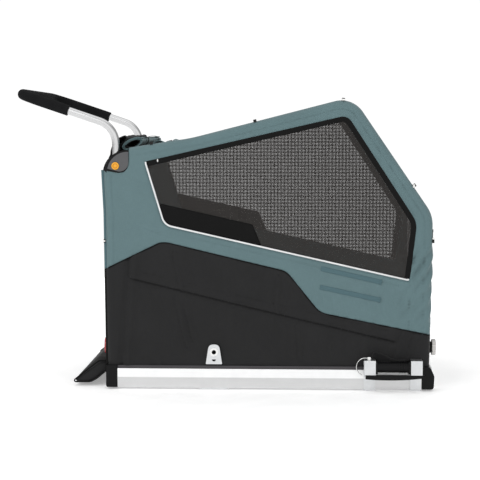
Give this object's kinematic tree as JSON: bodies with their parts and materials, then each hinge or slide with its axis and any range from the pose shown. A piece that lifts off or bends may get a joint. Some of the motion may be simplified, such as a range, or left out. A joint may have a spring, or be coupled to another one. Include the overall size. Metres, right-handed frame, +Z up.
{
  "type": "pet bicycle trailer",
  "caption": "Framed fabric trailer cabin with mesh side windows, aluminium base rails, folding push handlebar and tow receivers, shown without its wheels or tow bar.",
  "frame": {"origin": "on the ground on the middle plane, 7.5 mm ahead of the middle of the whole trailer's box", "axes": "+X forward, +Y to the trailer's left, +Z up"},
  "size_m": [1.239, 0.752, 0.8815],
  "materials": {
    "teal_fabric": "coated woven polyester, grey-teal, matt",
    "black_fabric": "coated woven nylon, black, soft sheen",
    "mesh_fabric": "open square mesh, black",
    "mat_fabric": "quilted pad, dark grey",
    "webbing": "flat woven webbing, black",
    "aluminium_rail": "clear anodised extrusion",
    "aluminium_tube": "clear anodised round tube",
    "steel_plate": "zinc-plated plate",
    "steel_pin": "bright zinc pin and wire",
    "spring_steel": "bare spring wire",
    "black_plastic": "moulded, fine grain",
    "grey_plastic": "moulded, fine grain",
    "orange_plastic": "moulded button",
    "foam_grip": "closed-cell foam",
    "floor_board": "rigid panel",
    "clear_lens": "clear prismatic reflector",
    "red_lens": "red prismatic reflector",
    "zip_metal": "moulded zip pull"
  },
  "bodies": {
    "base": {"axle_brackets": "steel_plate", "axle_bushings": "steel_pin", "axle_plates": "steel_plate", "base_screws": "steel_pin", "button_spring_left": "spring_steel", "button_spring_right": "spring_steel", "corner_castings": "black_plastic", "cover_loops": "webbing", "floor_braces": "aluminium_tube", "floor_mat": "mat_fabric", "floor_panel": "floor_board", "front_apron": "black_fabric", "front_reflectors": "clear_lens", "hem_strips": "black_plastic", "hoop_left": "aluminium_tube", "hoop_right": "aluminium_tube", "hub_cover_left": "grey_plastic", "hub_cover_right": "grey_plastic", "hub_housing_left": "black_plastic", "hub_housing_right": "black_plastic", "pin_tethers": "webbing", "pivot_pins": "steel_pin", "rail_front": "aluminium_rail", "rail_left": "aluminium_rail", "rail_rear": "aluminium_rail", "rail_right": "aluminium_rail", "rear_apron": "black_fabric", "rear_header": "black_fabric", "rear_reflectors": "red_lens", "receiver_left": "black_plastic", "receiver_right": "black_plastic", "receiver_straps": "steel_plate", "receiver_trays": "black_plastic", "reflector_bases": "black_plastic", "rolled_cover": "teal_fabric", "roof_cover": "teal_fabric", "side_mesh_left": "mesh_fabric", "side_mesh_right": "mesh_fabric", "side_skirt_left": "black_fabric", "side_skirt_right": "black_fabric", "side_upper_left": "teal_fabric", "side_upper_right": "teal_fabric", "spreader_clip": "black_plastic", "spreader_pivot": "black_plastic"},
    "handlebar": {"handlebar_tube": "aluminium_tube", "handlebar_grip": "foam_grip", "leg_ends": "black_plastic"},
    "button_right": {"release_button_right": "orange_plastic"},
    "button_left": {"release_button_left": "orange_plastic"},
    "spreader": {"spreader_bar": "aluminium_tube"},
    "front_door_low": {"front_door_lower": "mesh_fabric", "zip_pulls": "zip_metal"},
    "front_door_top": {"front_door_upper": "teal_fabric"},
    "back_door": {"rear_door": "mesh_fabric"},
    "step_flap": {"rear_flap": "black_fabric"},
    "pin_right": {"hitch_pin_right": "steel_pin"},
    "pin_left": {"hitch_pin_left": "steel_pin"},
    "bail_right": {"pin_bail_right": "steel_pin"},
    "bail_left": {"pin_bail_left": "steel_pin"}
  },
  "joints": [
    {"name": "handlebar_pivot", "type": "hinge", "parent": "base", "child": "handlebar", "pos_m": [-0.327, 0, 0.656], "axis": [0, 1, 0], "range_deg": [-75, 12]},
    {"name": "release_button_right", "type": "slide", "parent": "base", "child": "button_right", "axis": [0, 1, 0], "range_m": [0, 0.0035], "stiffness_N_per_m": 800, "springref_m": -0.003, "deforming": ["button_spring_right"]},
    {"name": "release_button_left", "type": "slide", "parent": "base", "child": "button_left", "axis": [0, -1, 0], "range_m": [0, 0.0035], "stiffness_N_per_m": 800, "springref_m": -0.003, "deforming": ["button_spring_left"]},
    {"name": "spreader_swing", "type": "hinge", "parent": "base", "child": "spreader", "pos_m": [0.305, 0.285, 0.82308], "axis": [0.248, 0, -0.9688], "range_deg": [0, 90]},
    {"name": "front_door_fall", "type": "hinge", "parent": "base", "child": "front_door_low", "pos_m": [0.5914, 0, 0.155], "axis": [0, 1, 0], "range_deg": [0, 105]},
    {"name": "front_door_fold", "type": "hinge", "parent": "front_door_low", "child": "front_door_top", "pos_m": [0.5966, 0, 0.4815], "axis": [0, 1, 0], "range_deg": [0, 29.4]},
    {"name": "rear_door_fall", "type": "hinge", "parent": "base", "child": "back_door", "pos_m": [-0.355, 0, 0.155], "axis": [0, -1, 0], "range_deg": [0, 105]},
    {"name": "rear_flap_lift", "type": "hinge", "parent": "base", "child": "step_flap", "pos_m": [-0.358, 0, 0.076], "axis": [0, 1, 0], "range_deg": [0, 20]},
    {"name": "hitch_pin_pull_right", "type": "slide", "parent": "base", "child": "pin_right", "axis": [0, 0, 1], "range_m": [0, 0.055]},
    {"name": "pin_bail_swing_right", "type": "hinge", "parent": "pin_right", "child": "bail_right", "pos_m": [0.41089, -0.355, 0.09843], "axis": [0, 1, 0], "range_deg": [0, 90]},
    {"name": "hitch_pin_pull_left", "type": "slide", "parent": "base", "child": "pin_left", "axis": [0, 0, 1], "range_m": [0, 0.055]},
    {"name": "pin_bail_swing_left", "type": "hinge", "parent": "pin_left", "child": "bail_left", "pos_m": [0.41089, 0.355, 0.09843], "axis": [0, 1, 0], "range_deg": [0, 90]}
  ],
  "couplings": [
    {"joint": "front_door_fold", "follows": "front_door_fall", "ratio": 0.28}
  ]
}
